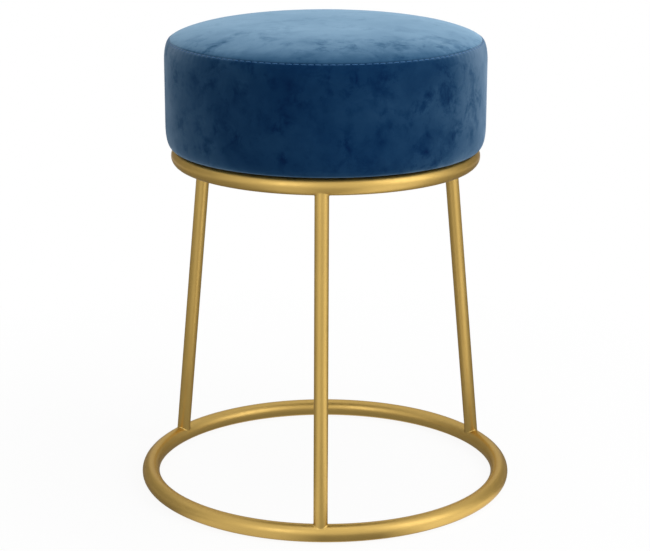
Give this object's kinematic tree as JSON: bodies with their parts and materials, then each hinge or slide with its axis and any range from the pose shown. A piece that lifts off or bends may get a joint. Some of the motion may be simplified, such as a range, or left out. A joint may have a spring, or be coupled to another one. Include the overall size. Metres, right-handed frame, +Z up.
{
  "type": "vanity stool",
  "caption": "Round backless stool: a velvet drum cushion on a gold tubular frame with a seat ring, splayed legs and a larger ring that lies on the floor.",
  "frame": {"origin": "on the floor, at the centre of the lower ring", "axes": "+Z up along the stool's axis, -Y towards the front leg, +X to the right in the picture's view"},
  "size_m": [0.388, 0.388, 0.4843],
  "materials": {
    "gold_tube": "satin",
    "velvet": "matte",
    "foam": "matte",
    "plywood": "matte",
    "dust_cloth": "matte",
    "zinc_plate": "satin"
  },
  "bodies": {
    "root": {"lower_ring": "gold_tube", "upper_ring": "gold_tube", "leg_front": "gold_tube", "leg_rear_right": "gold_tube", "leg_rear_left": "gold_tube", "seat_tab_right": "gold_tube", "seat_tab_rear": "gold_tube", "seat_tab_left": "gold_tube", "seat_board": "plywood", "foam_pad": "foam", "cover_top": "velvet", "cover_band": "velvet", "dust_cover": "dust_cloth", "tee_nut_right": "zinc_plate", "tee_nut_rear": "zinc_plate", "tee_nut_left": "zinc_plate", "seat_screw_right": "zinc_plate", "seat_screw_rear": "zinc_plate", "seat_screw_left": "zinc_plate", "seat_washer_right": "zinc_plate", "seat_washer_rear": "zinc_plate", "seat_washer_left": "zinc_plate", "staple_01": "zinc_plate", "staple_02": "zinc_plate", "staple_03": "zinc_plate", "staple_04": "zinc_plate", "staple_05": "zinc_plate", "staple_06": "zinc_plate", "staple_07": "zinc_plate", "staple_08": "zinc_plate", "staple_09": "zinc_plate", "staple_10": "zinc_plate", "staple_11": "zinc_plate", "staple_12": "zinc_plate"}
  },
  "joints": []
}
